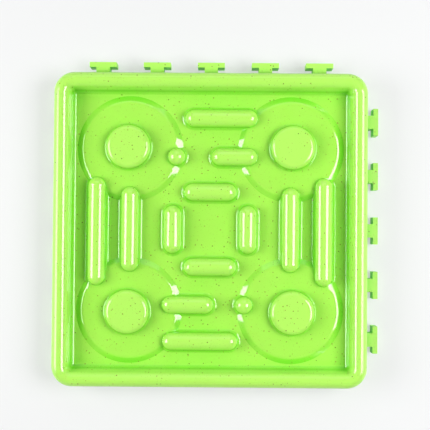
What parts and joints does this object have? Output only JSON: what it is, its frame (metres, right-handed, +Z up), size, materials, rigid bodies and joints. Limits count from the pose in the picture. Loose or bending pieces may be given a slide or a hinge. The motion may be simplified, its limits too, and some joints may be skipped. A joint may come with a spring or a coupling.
{
  "type": "dog lick mat",
  "caption": "Square glossy plastic lick mat with raised bars, domes and round bosses in a rimmed basin, T-shaped joining tabs on adjacent edges and suction cups underneath.",
  "frame": {"origin": "middle of the square body on the table plane, the plane of the skirt's lower edge", "axes": "+Z up out of the basin, +Y towards the edge with tabs that is at the top of the picture, +X towards the other edge with tabs"},
  "size_m": [0.2083, 0.2083, 0.02],
  "materials": {
    "tray": "glossy lime-green straw-filled polypropylene with fine brown specks",
    "suction_cups": "milky translucent soft silicone, satin"
  },
  "bodies": {
    "root": {"tray": "tray", "suction_cup_front_left": "suction_cups", "suction_cup_front_right": "suction_cups", "suction_cup_back_left": "suction_cups", "suction_cup_back_right": "suction_cups"}
  },
  "joints": []
}
